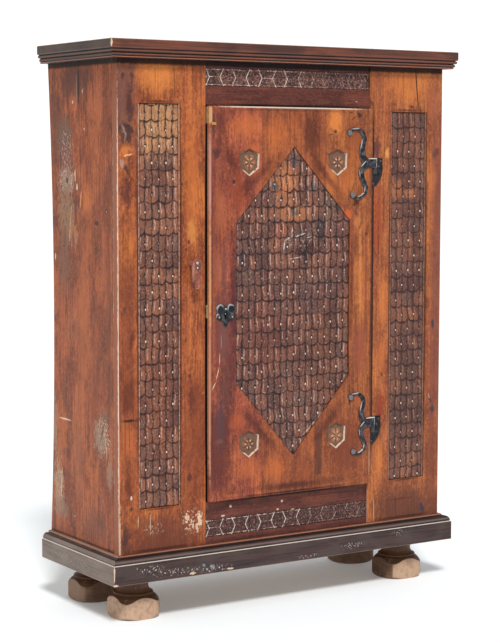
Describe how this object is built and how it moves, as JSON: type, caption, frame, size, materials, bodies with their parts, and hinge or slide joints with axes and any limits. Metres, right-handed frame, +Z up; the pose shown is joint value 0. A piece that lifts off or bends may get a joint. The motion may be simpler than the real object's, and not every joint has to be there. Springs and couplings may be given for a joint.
{
  "type": "bonnetiere cabinet",
  "caption": "Tall one-door cupboard with shelves, sunk scale carving on the door and front boards, scroll strap hinges, moulded cornice and plinth, and squared bun feet.",
  "frame": {"origin": "on the floor, under the middle of the cabinet's plan", "axes": "+Z up; the door faces -Y; +X towards the hinges"},
  "size_m": [1.29, 0.487, 1.75],
  "materials": {
    "board_wood": "waxed softwood, worn",
    "door_wood": "waxed softwood, worn",
    "rail_wood": "dark waxed wood",
    "dark_wood": "dark stained, worn edges",
    "foot_wood": "worn bare wood under dark stain",
    "inner_wood": "unfinished softwood",
    "button_wood": "red-brown stained",
    "forged_iron": "blackened forged iron",
    "forend_brass": "dull brass"
  },
  "bodies": {
    "carcass": {"back_nails": "forged_iron", "back_plank_1": "inner_wood", "back_plank_2": "inner_wood", "back_plank_3": "inner_wood", "back_plank_4": "inner_wood", "back_plank_5": "inner_wood", "bottom_board": "inner_wood", "button_spacer": "button_wood", "corner_block_front_left": "inner_wood", "corner_block_front_right": "inner_wood", "corner_block_rear_left": "inner_wood", "corner_block_rear_right": "inner_wood", "cornice_front": "dark_wood", "cornice_left": "dark_wood", "cornice_right": "dark_wood", "foot_front_left": "foot_wood", "foot_front_right": "foot_wood", "foot_rear_left": "foot_wood", "foot_rear_right": "foot_wood", "frieze_rail_bottom": "rail_wood", "frieze_rail_top": "rail_wood", "front_board_left": "board_wood", "front_board_right": "board_wood", "lock_keep": "forged_iron", "pintle_bottom": "forged_iron", "pintle_nails": "forged_iron", "pintle_top": "forged_iron", "pivot_nail": "forged_iron", "plinth_front": "dark_wood", "plinth_left": "dark_wood", "plinth_right": "dark_wood", "shelf_cleats_left": "inner_wood", "shelf_cleats_right": "inner_wood", "shelf_lower": "inner_wood", "shelf_middle": "inner_wood", "shelf_upper": "inner_wood", "side_left": "board_wood", "side_right": "board_wood", "top_board": "inner_wood"},
    "door": {"door_plank_left": "door_wood", "door_plank_middle": "door_wood", "door_plank_right": "door_wood", "door_batten_top": "inner_wood", "door_batten_bottom": "inner_wood", "door_dowels": "inner_wood", "batten_nails": "forged_iron", "hinge_leaf_top": "forged_iron", "hinge_leaf_bottom": "forged_iron", "hinge_nails": "forged_iron", "escutcheon": "forged_iron", "escutcheon_nails": "forged_iron", "lock_case": "forged_iron", "key_pin": "forged_iron", "lock_forend": "forend_brass"},
    "button": {"turn_button": "button_wood", "button_pin": "forged_iron"},
    "bolt": {"lock_bolt": "forged_iron"}
  },
  "joints": [
    {"name": "door_hinge", "type": "hinge", "parent": "carcass", "child": "door", "pos_m": [0.323, -0.2205, 0.969], "axis": [0, 0, 1], "range_deg": [0, 165]},
    {"name": "button_turn", "type": "hinge", "parent": "carcass", "child": "button", "pos_m": [-0.352, -0.2325, 1.088], "axis": [0, -1, 0], "range_deg": [0, 90]},
    {"name": "bolt_slide", "type": "slide", "parent": "door", "child": "bolt", "axis": [-1, 0, 0], "range_m": [0, 0.013]}
  ]
}
